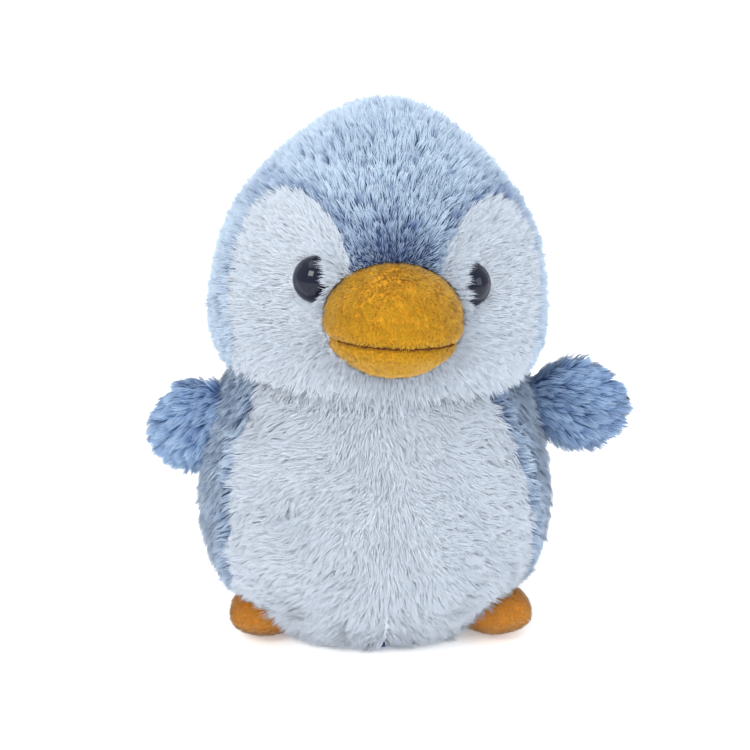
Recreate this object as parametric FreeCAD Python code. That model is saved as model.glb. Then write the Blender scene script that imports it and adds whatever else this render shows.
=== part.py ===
"""Plush penguin chick, sitting, about 18 cm tall: millimetres, +Z up, beak towards -Y, toy's left at +X.

The origin is the middle of the flat base panel. Head and torso are upholstered eggs: a stuffing core
inside sewn panels, each panel being backing cloth with its pile. Both eggs meet a round wad of neck
stuffing, on which the head turns and nods. Flippers and feet swing on the rolled seams at their roots.
"""
import FreeCAD
import Part
import math
import os
from FreeCAD import Placement, Rotation, Vector

# --- driving dimensions, millimetres and degrees -------------------------------------------------
PILE = 7.0                # backing cloth and pile together, on head and torso
NECK_Z = 91.0             # height of the neck seam and of the head's turning point
HEAD_DEPTH = 0.92         # depth over width of the head's egg
TORSO_DEPTH = 0.88        # depth over width of the torso's egg
HEAD_PROFILE = [(51, 91), (56.6, 101), (57.2, 116), (54.6, 131.5), (47.6, 147.5), (33.4, 164),
                (18.4, 175.5), (0, 181)]                     # half-width, height
TORSO_PROFILE = [(41, 0), (51.8, 12), (60.6, 30), (61.5, 48), (57.4, 70), (51, 91)]
BASE_TRIM = 0.5           # the torso's egg starts this much lower and is cut flat at z = 0

NECK_RADIUS = 28.0        # wad of stuffing in the neck
NECK_PLAY = 0.4           # gap round the wad
NECK_TILT = 9.2           # the crease opens by this angle, a little more than the head leans and nods
HEAD_LEAN = 3.0           # at rest the head leans to the toy's left
CREASE_PLAY = 0.3         # gap at the middle of the crease

BASE_RADIUS = 39.0        # half-width of the oval base panel
BELLY = {"left": [(34, NECK_Z), (51, 42), (44, 4)],          # side edge of the white belly
         "right": [(42, NECK_Z), (52, 38), (44, 4)]}
LOBE_CENTRE = (31.5, 121.0)                                  # white eye patch, seen from the front
LOBE_SIZE = (19.0, 33.0)
CHEEK_HALF_WIDTH, CHEEK_TOP = 48.5, 117.0                    # white cheeks and chin under the patches
CROWN_BACK_Y = 12.0       # seam where the crown panel meets the two panels behind it

EYE_AT = (23.2, 128.0)    # across and up
EYE_RADIUS, EYE_FLANGE, EYE_DOME = 7.0, 1.2, 5.2
EYE_PLAY = 0.2            # gap between the eye and the pile or the beak beside it
CLOTH = 1.0               # backing cloth alone
SHANK_RADIUS, SHANK_LENGTH = 2.0, 11.0
WASHER_RADIUS, WASHER_THICK, WASHER_HUB, WASHER_HUB_THICK = 8.0, 1.3, 3.6, 1.6
WASHER_SINK = 1.1         # the cloth bulges over the flat washer by this much

BEAK_AT = (0, -46.5, 118.4)
BEAK_SIZE = (22.0, 24.5, 18.3)                               # half width, half length, half height
BEAK_PITCH = -5.0         # the beak points down by this much
MOUTH_DROP = 5.4          # the mouth seam lies this far below the middle of the beak
BEAK_CLOTH = 1.6
MOUTH_THREAD = 0.35       # radius of the seam thread
MOUTH_STITCHES, MOUTH_SWEEP = 23, 62.0                       # stitches, and half angle they span

FLIPPER_SIZE = (21.5, 8.4, 19.2)                             # half length, thickness and height
FLIPPER_REACH = 10.5      # root seam to the middle of the paddle
FLIPPER_CLOTH = 4.0
FLIPPER_TAPER = 32.0      # the paddle thins towards its root at this half angle
FLIPPER_FAN = 54.0        # and narrows down to the root seam at this one
FLIPPER_SWING = 43.0      # forwards and backwards, from straight out sideways
ROOT_RADIUS, ROOT_LENGTH, ROOT_PLAY = 3.0, 15.0, 0.4
FLIPPER_ROOT = {"left": (56.0, -3.0, 77.8), "right": (54.6, -2.0, 77.5)}
FLIPPER_REST = {"left": (9.0, -6.0), "right": (-30.0, -27.0)}  # swung forward, lifted

FOOT_SIZE = (15.0, 12.8, 9.3)                                # half length, half width, half height
FOOT_REACH, FOOT_CLOTH = 8.0, 1.8
FOOT_ROOT = {"left": (30.2, -25.0, 8.9), "right": (30.4, -19.0, 8.9)}
FOOT_YAW = 57.0           # from straight ahead, outwards
FOOT_TAPER = 40.0
FOOT_LIFT = 12.0          # the toes lift by this much
FOOT_ROOT_RADIUS, FOOT_ROOT_LENGTH = 2.6, 13.0
SOLE_Z, SOLE_CLOTH = 0.6, 1.8

CLOSING_STITCHES, CLOSING_Z, CLOSING_PITCH = 9, 30.0, 4.0
STITCH_RADIUS, STITCH_LENGTH = 0.5, 5.0

FAR = 200.0               # larger than the toy
LEFT_SIDE = {"left": 1, "right": -1}                         # sign of X


# --- helpers ------------------------------------------------------------------------------------
def outline(profile):
    """The smooth curve through the profile's points; one that ends on the axis crosses it level."""
    points = [Vector(r, 0, z) for r, z in profile]
    across = []
    if profile[-1][0] == 0:
        across = [Vector(-r, 0, z) for r, z in reversed(profile[-4:-1])]
    curve = Part.BSplineCurve()
    curve.interpolate(points + across)
    curve.segment(curve.FirstParameter, curve.parameter(points[-1]))
    return curve


def inset(profile, depth):
    """The profile moved inwards by depth, along its own normals."""
    curve = outline(profile)
    moved = []
    for r, z in profile:
        run = curve.tangent(curve.parameter(Vector(r, 0, z)))[0]
        moved.append((r - depth * run.z if r else 0, z + depth * run.x))
    return moved


def scaled(shape, x, y, z):
    matrix = FreeCAD.Matrix()
    matrix.scale(x, y, z)
    return shape.transformGeometry(matrix)


def half_egg(profile, depth_ratio):
    """The left half of the solid that the profile sweeps round, squeezed from front to back."""
    curve = outline(profile)
    (r0, z0), (r1, z1) = profile[0], profile[-1]
    corners = [Vector(r1, 0, z1), Vector(0, 0, z1), Vector(0, 0, z0), Vector(r0, 0, z0)]
    edges = [curve.toShape()]
    for a, b in zip(corners, corners[1:]):
        if a.distanceToPoint(b) > 1e-6:
            edges.append(Part.makeLine(a, b))
    face = Part.Face(Part.Wire(Part.__sortEdges__(edges)))
    face.rotate(Vector(0, 0, 0), Vector(0, 0, 1), -90)
    solid = face.revolve(Vector(0, 0, 0), Vector(0, 0, 1), 180)
    return scaled(solid, 1, depth_ratio, 1)


def radius_and_slope(profile, z):
    """Half-width of the egg at height z, and how fast it changes going up."""
    curve = outline(profile)
    level = Part.makeLine(Vector(0, 0, z), Vector(FAR, 0, z))
    point = curve.toShape().distToShape(level)[1][0][0]
    tangent = curve.tangent(curve.parameter(point))[0]
    return point.x, tangent.x / tangent.z


def mirrored(shape):
    return shape.mirror(Vector(0, 0, 0), Vector(1, 0, 0))


def joined(halves):
    return halves[0].fuse(halves[1:]).removeSplitter()


def both_halves(shape):
    """A left half joined to its mirror image."""
    return joined([shape, mirrored(shape)])


def ellipsoid(size, centre=(0, 0, 0)):
    unit = 10.0
    ball = Part.makeSphere(unit)
    solid = scaled(ball, size[0] / unit, size[1] / unit, size[2] / unit)
    solid.translate(Vector(*centre))
    return solid


def grown(size, by):
    return tuple(s + by for s in size)


def block(low, high):
    return Part.makeBox(*[b - a for a, b in zip(low, high)], Vector(*low))


def front_prism(face, near=0.0):
    """A flat shape in the XZ plane, pushed forwards from y = near."""
    solid = face.extrude(Vector(0, -FAR, 0))
    solid.translate(Vector(0, near, 0))
    return solid


def along(axis):
    return Rotation(Vector(0, 0, 1), Vector(*axis))


def solids(shape):
    """The shape's solids alone, tidied, largest first, without slivers."""
    found = [s for s in shape.Solids if s.Volume > 0.5]
    return sorted(found, key=lambda s: -s.Volume)


def save(name, shape):
    kept = solids(shape)
    whole = kept[0] if len(kept) == 1 else Part.makeCompound(kept)
    bad = [s for s in kept if not (s.isValid() and s.isClosed())]
    if bad or not kept:
        print("BAD", name)
    whole.exportStep(os.path.join("parts", name + ".step"))
    low, high = whole.BoundBox, whole.Volume
    print(f"{name:28s} solids {len(kept):2d}  volume {high:9.0f}  z {low.ZMin:6.1f} to {low.ZMax:6.1f}")
    return whole


# --- head and torso eggs ------------------------------------------------------------------------
def crease():
    """The wedge all round the neck in which the head tips."""
    rise = FAR * math.tan(math.radians(NECK_TILT / 2))
    middle = CREASE_PLAY / 2
    corners = [Vector(0, 0, NECK_Z - middle), Vector(FAR, 0, NECK_Z - middle - rise),
               Vector(FAR, 0, NECK_Z + middle + rise), Vector(0, 0, NECK_Z + middle)]
    face = Part.Face(Part.makePolygon(corners + corners[:1]))
    return face.revolve(Vector(0, 0, 0), Vector(0, 0, 1), 360)


def neck_ball(extra=0.0):
    return Part.makeSphere(NECK_RADIUS + extra, Vector(0, 0, NECK_Z))


def core_profile(profile, neck_first):
    """The stuffing's profile, carried on to the neck seam where the egg is open."""
    inner = inset(profile, PILE)
    if neck_first:
        return [(inner[0][0], NECK_Z - 1.0)] + inner[1:]
    return inner[:-1] + [(inner[-1][0], NECK_Z + 1.0)]


def core_depth(profile, ratio):
    """Depth over width of the stuffing, so that the pile is as thick in front as at the sides."""
    widest = max(r for r, _ in profile)
    return (widest * ratio - PILE) / (widest - PILE)


def egg_halves(profile, ratio, neck_first):
    """Left half of the egg, open at the neck, and of the stuffing's form inside it."""
    low_r, low_z = profile[0]
    outer_profile = profile if neck_first else [(low_r - BASE_TRIM, low_z - BASE_TRIM)] + profile[1:]
    outer = half_egg(outer_profile, ratio).cut(crease())
    core = half_egg(core_profile(profile, neck_first), core_depth(profile, ratio))
    return outer, core


# --- face ---------------------------------------------------------------------------------------
def mask_tool():
    """Everything in front of the left eye patch, cheek and chin."""
    x, z = LOBE_CENTRE
    lobe = Part.Ellipse(Vector(0, 0, 0), LOBE_SIZE[1], LOBE_SIZE[0]).toShape()
    upright = Rotation(Vector(0, 0, 1), Vector(1, 0, 0), Vector(0, -1, 0), "XYZ")
    lobe.Placement = Placement(Vector(x, 0, z), upright)
    patch = front_prism(Part.Face(Part.Wire(lobe)))
    return patch.fuse(block((-FAR, -FAR, 0), (CHEEK_HALF_WIDTH, 0, CHEEK_TOP)))


def eye_placement():
    """The left eye's seat: on the stuffing's surface, facing straight out of it."""
    x, z = EYE_AT
    ratio = core_depth(HEAD_PROFILE, HEAD_DEPTH)
    r, slope = radius_and_slope(core_profile(HEAD_PROFILE, True), z)
    y = -ratio * math.sqrt(r ** 2 - x ** 2)
    return Placement(Vector(x, y, z), along((x, y / ratio ** 2, -r * slope)))


def placed(shape, placement):
    moved = shape.copy()
    moved.Placement = placement.multiply(moved.Placement)
    return moved


def eye_dome():
    """A button eye: flange, domed front and a shank behind, about the local Z axis."""
    low = CLOTH
    flange = Part.makeCylinder(EYE_RADIUS, EYE_FLANGE, Vector(0, 0, low))
    ball_radius = (EYE_RADIUS ** 2 + EYE_DOME ** 2) / (2 * EYE_DOME)
    top = low + EYE_FLANGE
    ball = Part.makeSphere(ball_radius, Vector(0, 0, top + EYE_DOME - ball_radius))
    dome = ball.common(Part.makeCylinder(EYE_RADIUS, EYE_DOME + 1, Vector(0, 0, top)))
    shank = Part.makeCylinder(SHANK_RADIUS, SHANK_LENGTH + low, Vector(0, 0, -SHANK_LENGTH))
    return flange.fuse([dome, shank]).removeSplitter()


def eye_washer():
    low = -WASHER_SINK - WASHER_THICK
    disc = Part.makeCylinder(WASHER_RADIUS, WASHER_THICK, Vector(0, 0, low))
    hub = Part.makeCylinder(WASHER_HUB, WASHER_HUB_THICK, Vector(0, 0, low - WASHER_HUB_THICK))
    return disc.fuse(hub).cut(Part.makeCylinder(SHANK_RADIUS, 20, Vector(0, 0, -15))).removeSplitter()


def shank_hole():
    return Part.makeCylinder(SHANK_RADIUS, 20, Vector(0, 0, -SHANK_LENGTH))


def eye_seat():
    """What the eye takes out of the face: pile above the cloth, and the shank's hole."""
    return shank_hole().fuse(Part.makeCylinder(EYE_RADIUS + EYE_PLAY, 20, Vector(0, 0, CLOTH)))


def eye_room():
    """The eye and a little play round it, which the side of the beak gives way to."""
    return Part.makeCylinder(EYE_RADIUS + EYE_PLAY, EYE_FLANGE + EYE_DOME + EYE_PLAY, Vector(0, 0, CLOTH))


# --- beak ---------------------------------------------------------------------------------------
def beak_placement():
    return Placement(Vector(*BEAK_AT), Rotation(Vector(1, 0, 0), BEAK_PITCH))


def mouth_seam():
    """Separate short stitches round the front of the beak, where its two halves meet."""
    stitches = []
    step = 2 * math.radians(MOUTH_SWEEP) / MOUTH_STITCHES
    narrowing = math.sqrt(1 - (MOUTH_DROP / BEAK_SIZE[2]) ** 2)
    width, length = BEAK_SIZE[0] * narrowing, BEAK_SIZE[1] * narrowing
    for i in range(MOUTH_STITCHES):
        middle = -math.radians(MOUTH_SWEEP) + (i + 0.5) * step
        ends = []
        for turn in (middle - 0.36 * step, middle + 0.36 * step):
            ends.append(Vector(width * math.sin(turn), -length * math.cos(turn), -MOUTH_DROP))
        run = ends[1] - ends[0]
        stitches.append(Part.makeCylinder(MOUTH_THREAD, run.Length, ends[0], run))
    return Part.makeCompound(stitches)


# --- flippers and feet --------------------------------------------------------------------------
def flipper_placement(name):
    forward, lift = FLIPPER_REST[name]
    swing = Rotation(Vector(0, 0, 1), -forward)
    raise_tip = Rotation(Vector(0, 1, 0), -lift)
    return Placement(Vector(*FLIPPER_ROOT[name]), swing.multiply(raise_tip))


def half_ellipsoid(size, centre):
    """The half towards +Y."""
    ball = Part.makeSphere(10, Vector(0, 0, 0), Vector(0, 0, 1), -90, 90, 180)
    solid = scaled(ball, size[0] / 10, size[1] / 10, size[2] / 10)
    solid.translate(Vector(*centre))
    return solid


def wedge(half_angle):
    """Everything towards +X within the half angle of the XZ plane, on its +Y side."""
    rise = FAR * math.tan(math.radians(half_angle))
    corners = [Vector(0, 0, -FAR), Vector(FAR, 0, -FAR), Vector(FAR, rise, -FAR)]
    return Part.Face(Part.makePolygon(corners + corners[:1])).extrude(Vector(0, 0, 2 * FAR))


def fan(extra=0.0):
    """The flipper's room in its own XZ plane, opening from the root seam towards +X."""
    low = ROOT_LENGTH / 2 + extra
    high = low + FAR * math.tan(math.radians(FLIPPER_FAN))
    corners = [Vector(0, -FAR, -low), Vector(FAR, -FAR, -high), Vector(FAR, -FAR, high), Vector(0, -FAR, low)]
    return Part.Face(Part.makePolygon(corners + corners[:1])).extrude(Vector(0, 2 * FAR, 0))


def flipper_local():
    """Root seam along local Z at the origin, paddle towards +X, its faces towards -Y and +Y."""
    centre = (FLIPPER_REACH, 0, 0)
    root = Part.makeCylinder(ROOT_RADIUS, ROOT_LENGTH, Vector(0, 0, -ROOT_LENGTH / 2))
    hole = Part.makeCylinder(ROOT_RADIUS, FAR, Vector(0, 0, -FAR / 2))
    paddle = half_ellipsoid(FLIPPER_SIZE, centre).common(wedge(FLIPPER_TAPER)).common(fan()).cut(hole)
    core = half_ellipsoid(grown(FLIPPER_SIZE, -FLIPPER_CLOTH), centre)
    core = core.common(wedge(FLIPPER_TAPER / 2)).common(fan(-FLIPPER_CLOTH)).cut(hole)
    back = paddle.cut(core)
    front = back.mirror(Vector(0, 0, 0), Vector(0, 1, 0))
    core = core.fuse(core.mirror(Vector(0, 0, 0), Vector(0, 1, 0))).removeSplitter()
    return {"front_panel": front, "back_panel": back, "stuffing": core, "root_seam": root}


def flipper_sweep(name):
    """The room a flipper needs over its whole swing, and the groove its root seam turns in."""
    grow = 2 * ROOT_PLAY
    oval = Part.Ellipse(Vector(0, 0, 0), FLIPPER_SIZE[0] + grow, FLIPPER_SIZE[2] + grow).toShape()
    upright = Rotation(Vector(1, 0, 0), Vector(0, 0, 1), Vector(0, -1, 0), "XYZ")
    oval.Placement = Placement(Vector(FLIPPER_REACH, 0, 0), upright)
    section = Part.Face(Part.Wire(oval)).common(fan(grow)).Faces[0]
    reach = FLIPPER_SWING + FLIPPER_TAPER + 1
    section.rotate(Vector(0, 0, 0), Vector(0, 0, 1), FLIPPER_REST[name][0] - reach)
    room = section.revolve(Vector(0, 0, 0), Vector(0, 0, 1), 2 * reach)
    length = ROOT_LENGTH + 2 * ROOT_PLAY
    return room.fuse(Part.makeCylinder(ROOT_RADIUS + ROOT_PLAY, length, Vector(0, 0, -length / 2)))


def foot_placement(name):
    return Placement(Vector(*FOOT_ROOT[name]), Rotation(Vector(0, 0, 1), FOOT_YAW - 90))


def foot_local():
    """Root seam along local Y at the origin, toes towards +X, sole level."""
    centre = (FOOT_REACH, 0, 0)
    floor = SOLE_Z - FOOT_ROOT["left"][2]
    taper = wedge(FOOT_TAPER)
    taper = taper.fuse(taper.mirror(Vector(0, 0, 0), Vector(0, 1, 0)))
    taper.rotate(Vector(0, 0, 0), Vector(1, 0, 0), 90)
    root = Part.makeCylinder(FOOT_ROOT_RADIUS, FOOT_ROOT_LENGTH, Vector(0, -FOOT_ROOT_LENGTH / 2, 0), Vector(0, 1, 0))
    hole = Part.makeCylinder(FOOT_ROOT_RADIUS, FAR, Vector(0, -FAR / 2, 0), Vector(0, 1, 0))
    body = ellipsoid(FOOT_SIZE, centre).common(taper).cut(hole)
    body = body.common(block((-FAR, -FAR, floor), (FAR, FAR, FAR)))
    under = block((-FAR, -FAR, floor), (FAR, FAR, floor + SOLE_CLOTH))
    core = ellipsoid(grown(FOOT_SIZE, -FOOT_CLOTH), centre).cut(under)
    core = core.common(block((FOOT_ROOT_RADIUS + FOOT_CLOTH, -FAR, floor), (FAR, FAR, FAR)))
    sole = body.common(under)
    top = body.cut(under).cut(core)
    return {"top_panel": top, "sole_panel": sole, "stuffing": core, "root_seam": root}


def foot_sweep():
    """The room a foot needs as its toes lift, and the groove its root seam turns in."""
    length = FOOT_ROOT_LENGTH + 2 * ROOT_PLAY
    room = Part.makeCylinder(FOOT_ROOT_RADIUS + ROOT_PLAY, length, Vector(0, -length / 2, 0), Vector(0, 1, 0))
    for lift in (0, FOOT_LIFT / 2, FOOT_LIFT):
        swept = ellipsoid(grown(FOOT_SIZE, 2 * ROOT_PLAY), (FOOT_REACH, 0, 0))
        swept = swept.common(block((0, -FAR, -FAR), (FAR, FAR, FAR)))
        swept.rotate(Vector(0, 0, 0), Vector(0, 1, 0), -lift)
        room = room.fuse(swept)
    return room


def on_side(shape, placement, name):
    moved = placed(shape, placement)
    return moved if LEFT_SIDE[name] > 0 else mirrored(moved)


# --- assembly -----------------------------------------------------------------------------------
def leaned(shape):
    moved = shape.copy()
    moved.rotate(Vector(0, 0, NECK_Z), Vector(0, 1, 0), HEAD_LEAN)
    return moved


def build_head():
    outer, core = egg_halves(HEAD_PROFILE, HEAD_DEPTH, True)
    seat = eye_placement()
    washer = placed(eye_washer(), seat)
    beak_frame = beak_placement()
    beak = placed(ellipsoid(BEAK_SIZE), beak_frame)
    panels = outer.cut(core).cut(beak).cut(placed(eye_seat(), seat))
    mask = mask_tool()
    face = panels.common(mask)
    front = block((-FAR, -FAR, -FAR), (FAR, CROWN_BACK_Y, FAR))
    crown = panels.cut(mask).common(front)
    rear = panels.cut(front)
    save("crown_panel", leaned(both_halves(crown)))
    for name in LEFT_SIDE:
        save(f"face_panel_{name}", leaned(to_side(face, name)))
        save(f"head_back_panel_{name}", leaned(to_side(rear, name)))
        save(f"eye_{name}", leaned(to_side(placed(eye_dome(), seat), name)))
        save(f"eye_washer_{name}", leaned(to_side(washer, name)))

    stuffing = core.cut(crease()).cut(neck_ball(NECK_PLAY)).cut(washer)
    save("head_stuffing", leaned(both_halves(stuffing.cut(placed(shank_hole(), seat)))))
    eyes = [to_side(placed(eye_room(), seat), name) for name in LEFT_SIDE]
    build_beak(beak, beak_frame, eyes, both_halves(core))


def build_beak(beak, frame, eyes, head_core):
    core = placed(ellipsoid(grown(BEAK_SIZE, -BEAK_CLOTH)), frame)
    thread = placed(mouth_seam(), frame)
    upper = placed(block((-FAR, -FAR, -MOUTH_DROP), (FAR, FAR, FAR)), frame)
    shell = beak.cut(head_core).cut(core).cut(thread)
    save("beak_upper_panel", leaned(shell.common(upper).cut(eyes)))
    save("beak_lower_panel", leaned(shell.cut(upper)))
    save("beak_stuffing", leaned(core.cut(head_core).cut(thread)))
    save_small("mouth_seam_thread", leaned(thread))


def to_side(shape, name):
    return shape if LEFT_SIDE[name] > 0 else mirrored(shape)


def save_small(name, shape):
    """A group of small separate solids, kept whole."""
    shape.exportStep(os.path.join("parts", name + ".step"))
    print(f"{name:28s} solids {len(shape.Solids):2d}  volume {shape.Volume:9.1f}")


def belly_tool(name):
    """Everything in front of one half of the white belly, as for the left side."""
    edge = [Vector(x, 0, z) for x, z in BELLY[name]]
    rim = [Part.Arc(*edge).toShape()]
    corners = [edge[2], Vector(edge[2].x, 0, -1), Vector(-1, 0, -1), Vector(-1, 0, NECK_Z), edge[0]]
    for a, b in zip(corners, corners[1:]):
        rim.append(Part.makeLine(a, b))
    return front_prism(Part.Face(Part.Wire(rim)))


def build_torso():
    outer, core = egg_halves(TORSO_PROFILE, TORSO_DEPTH, False)
    outer = outer.cut(block((-FAR, -FAR, -FAR), (FAR, FAR, 0)))
    whole_shell = outer.cut(core)
    whole_stuffing = core.cut(crease()).cut(neck_ball(NECK_PLAY))
    disc = scaled(Part.makeCylinder(BASE_RADIUS, PILE), 1, TORSO_DEPTH, 1)
    bases, fillings = [], []
    for name in LEFT_SIDE:
        front = belly_tool(name)
        foot_room = placed(foot_sweep(), foot_placement(name))
        swing_room = placed(flipper_sweep(name), flipper_placement(name))
        shell = whole_shell.cut(foot_room)
        walls = shell.cut(disc).cut(swing_room)
        save(f"belly_panel_{name}", to_side(walls.common(front), name))
        save(f"back_panel_{name}", to_side(walls.cut(front), name))
        bases.append(to_side(shell.common(disc), name))
        fillings.append(to_side(whole_stuffing.cut(foot_room).cut(swing_room), name))
    stitches = closing_stitches()
    save("base_panel", joined(bases))
    save("torso_stuffing", joined(fillings).cut(stitches))
    save_small("closing_stitches", stitches)


def closing_stitches():
    """The row of hand stitches that shuts the back seam, just inside the cloth."""
    made = []
    for i in range(CLOSING_STITCHES):
        z = CLOSING_Z + i * CLOSING_PITCH
        r = radius_and_slope(core_profile(TORSO_PROFILE, False), z)[0]
        y = r * core_depth(TORSO_PROFILE, TORSO_DEPTH) - 2 * STITCH_RADIUS
        start = Vector(-STITCH_LENGTH / 2, y, z)
        made.append(Part.makeCylinder(STITCH_RADIUS, STITCH_LENGTH, start, Vector(1, 0, 0)))
    return Part.makeCompound(made)


def main():
    os.makedirs("parts", exist_ok=True)
    build_head()
    save("neck_stuffing", neck_ball())
    build_torso()
    flipper, foot = flipper_local(), foot_local()
    for name in LEFT_SIDE:
        for piece, shape in flipper.items():
            save(f"flipper_{name}_{piece}", on_side(shape, flipper_placement(name), name))
        for piece, shape in foot.items():
            save(f"foot_{name}_{piece}", on_side(shape, foot_placement(name), name))


main()
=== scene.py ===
import math

import bpy
import numpy as np
from mathutils import Matrix, Vector, kdtree


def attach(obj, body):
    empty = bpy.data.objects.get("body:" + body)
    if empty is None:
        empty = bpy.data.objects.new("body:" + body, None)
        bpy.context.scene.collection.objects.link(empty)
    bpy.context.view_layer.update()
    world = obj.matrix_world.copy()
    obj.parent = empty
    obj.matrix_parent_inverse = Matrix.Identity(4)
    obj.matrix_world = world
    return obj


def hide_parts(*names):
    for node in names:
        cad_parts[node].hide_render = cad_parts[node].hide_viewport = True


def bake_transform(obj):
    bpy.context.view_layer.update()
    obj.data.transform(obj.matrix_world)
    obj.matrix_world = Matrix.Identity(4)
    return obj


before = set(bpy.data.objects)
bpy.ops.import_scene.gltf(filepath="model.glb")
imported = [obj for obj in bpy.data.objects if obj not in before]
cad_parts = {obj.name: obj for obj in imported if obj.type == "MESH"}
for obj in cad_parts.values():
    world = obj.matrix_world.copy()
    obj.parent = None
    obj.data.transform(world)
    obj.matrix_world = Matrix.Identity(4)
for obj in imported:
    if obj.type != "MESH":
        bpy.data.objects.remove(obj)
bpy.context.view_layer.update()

MM = 0.001

# The design's own numbers, in millimetres, as in the CAD source.
PILE = 7.0
NECK_Z = 91.0
HEAD_PROFILE = [(51, 91), (56.6, 101), (57.2, 116), (54.6, 131.5), (47.6, 147.5), (33.4, 164),
                (18.4, 175.5), (0, 181)]
TORSO_PROFILE = [(41, 0), (51.8, 12), (60.6, 30), (61.5, 48), (57.4, 70), (51, 91)]
HEAD_DEPTH, TORSO_DEPTH = 0.92, 0.88
HEAD_LEAN = 3.0
EYE_AT = (23.2, 128.0)
BEAK_AT, BEAK_SIZE = np.array([0, -46.5, 118.4]), np.array([22.0, 24.5, 18.3])
BEAK_PITCH = -5.0
MOUTH_DROP, MOUTH_STITCHES, MOUTH_SWEEP = 5.4, 23, 62.0
LOBE_CENTRE, LOBE_SIZE = (31.5, 121.0), (19.0, 33.0)
CHEEK_HALF_WIDTH, CHEEK_TOP = 48.5, 117.0
CROWN_BACK_Y = 12.0
BASE_RADIUS = 39.0
FLIPPER_SIZE, FLIPPER_REACH = np.array([21.5, 8.4, 19.2]), 10.5
FLIPPER_ROOT = {"left": (56.0, -3.0, 77.8), "right": (54.6, -2.0, 77.5)}
FLIPPER_REST = {"left": (9.0, -6.0), "right": (-30.0, -27.0)}
FOOT_SIZE, FOOT_REACH = np.array([15.0, 12.8, 9.3]), 8.0
FOOT_ROOT = {"left": (30.2, -25.0, 8.9), "right": (30.4, -19.0, 8.9)}
FOOT_YAW = 57.0
SIDES = {"left": 1, "right": -1}

# What only the looks have.
BELLY_EDGE = {            # heights, and the half widths of the white belly there
    "left": ([0, 4, 20, 42, 60, 75, 91], [44, 44, 49.5, 51, 48, 42.5, 34]),
    "right": ([0, 4, 20, 38, 60, 75, 91], [44, 44, 50, 52, 50, 46.8, 42])}
SKIN = 3.6                # how far the cloth lies under the tips of the pile
EYE_PIT = 2.6             # how much deeper it lies at an eye
EYE_CLEAR = 6.9           # no strand starts nearer to an eye's axis
NAP = 1.1                 # thickness of the short pile on beak and feet
FOOT_TUCK = np.array([1.0, 5.0, 0.8])          # the soft foot is squeezed back and up a little by the belly
FLIPPER_HANG = {"left": -1.0, "right": 5.0}    # how far the soft paddle droops below its rest angle
FLIPPER_SLOPE = {"left": 0.25, "right": 0.55}  # how far its upper edge falls away towards the tip
NECK_HALF_WIDTH, NECK_HALF_DEPTH = 47.0, 42.4
NECK_WHITE = 39.0         # half width of the white pile at the front of the neck


# --- small geometry helpers ---------------------------------------------------------------------
def unit(v):
    return v / np.maximum(np.linalg.norm(v, axis=-1, keepdims=True), 1e-9)


def across(v, n):
    """The part of v that lies in the surface with normal n, as a unit vector."""
    return unit(v - n * (v * n).sum(-1, keepdims=True))


def spline(points, count):
    """Points evenly spread on a natural cubic spline, and their tangents."""
    p = np.array(points, float)
    s = np.concatenate([[0], np.cumsum(np.linalg.norm(np.diff(p, axis=0), axis=1))])
    n, h = len(p), np.diff(s)
    a = np.eye(n)
    b = np.zeros((n, p.shape[1]))
    for i in range(1, n - 1):
        a[i, i - 1:i + 2] = h[i - 1], 2 * (h[i - 1] + h[i]), h[i]
        b[i] = 6 * ((p[i + 1] - p[i]) / h[i] - (p[i] - p[i - 1]) / h[i - 1])
    m = np.linalg.solve(a, b)
    at = np.linspace(0, s[-1], count)
    k = np.clip(np.searchsorted(s, at, side="right") - 1, 0, n - 2)
    d, e = (at - s[k])[:, None], (s[k + 1] - at)[:, None]
    hk = h[k][:, None]
    out = m[k] * e ** 3 / (6 * hk) + m[k + 1] * d ** 3 / (6 * hk)
    out += (p[k] / hk - m[k] * hk / 6) * e + (p[k + 1] / hk - m[k + 1] * hk / 6) * d
    return out, np.gradient(out, axis=0)


class Egg:
    """A profile swept about the vertical axis and squeezed from front to back."""

    def __init__(self, profile, ratio):
        self.ratio, self.widest = ratio, max(r for r, _ in profile)
        points = list(profile)
        closed = profile[-1][0] == 0
        if closed:
            points += [(-r, z) for r, z in reversed(profile[-4:-1])]
        line, run = spline(points, 900)
        if closed:
            keep = line[:, 0] >= 0
            line, run = line[keep], run[keep]
        self.line, self.normal = line, unit(np.stack([run[:, 1], -run[:, 0]], 1))
        step = np.linalg.norm(run, axis=1) * np.maximum(line[:, 0], 0.3)
        self.area = np.cumsum(step) / step.sum()

    def at(self, s, phi, depth=0.0):
        """Points depth below the envelope, and their outward normals; s runs from 0 to 1 up the profile."""
        k = np.clip(s, 0, 1) * (len(self.line) - 1)
        pick = [np.interp(k, np.arange(len(self.line)), c) for c in (*self.line.T, *self.normal.T)]
        r, z, nr, nz = pick
        inner = (self.widest * self.ratio - depth) / (self.widest - depth)
        r, z = np.maximum(r - depth * nr, 0), z - depth * nz
        n = unit(np.stack([np.cos(phi) * nr, np.sin(phi) * nr / inner, nz + 0 * phi], -1))
        return np.stack([r * np.cos(phi), inner * r * np.sin(phi), z + 0 * phi], -1), n

    def scatter(self, count, rng):
        s = np.interp(rng.random(count), self.area, np.linspace(0, 1, len(self.area)))
        return s, rng.random(count) * 2 * math.pi


HEAD, TORSO = Egg(HEAD_PROFILE, HEAD_DEPTH), Egg(TORSO_PROFILE, TORSO_DEPTH)


def turned(comb, n, angle):
    """The comb direction turned about the surface's normal."""
    return unit(comb * np.cos(angle)[:, None] + np.cross(n, comb) * np.sin(angle)[:, None])


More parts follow.
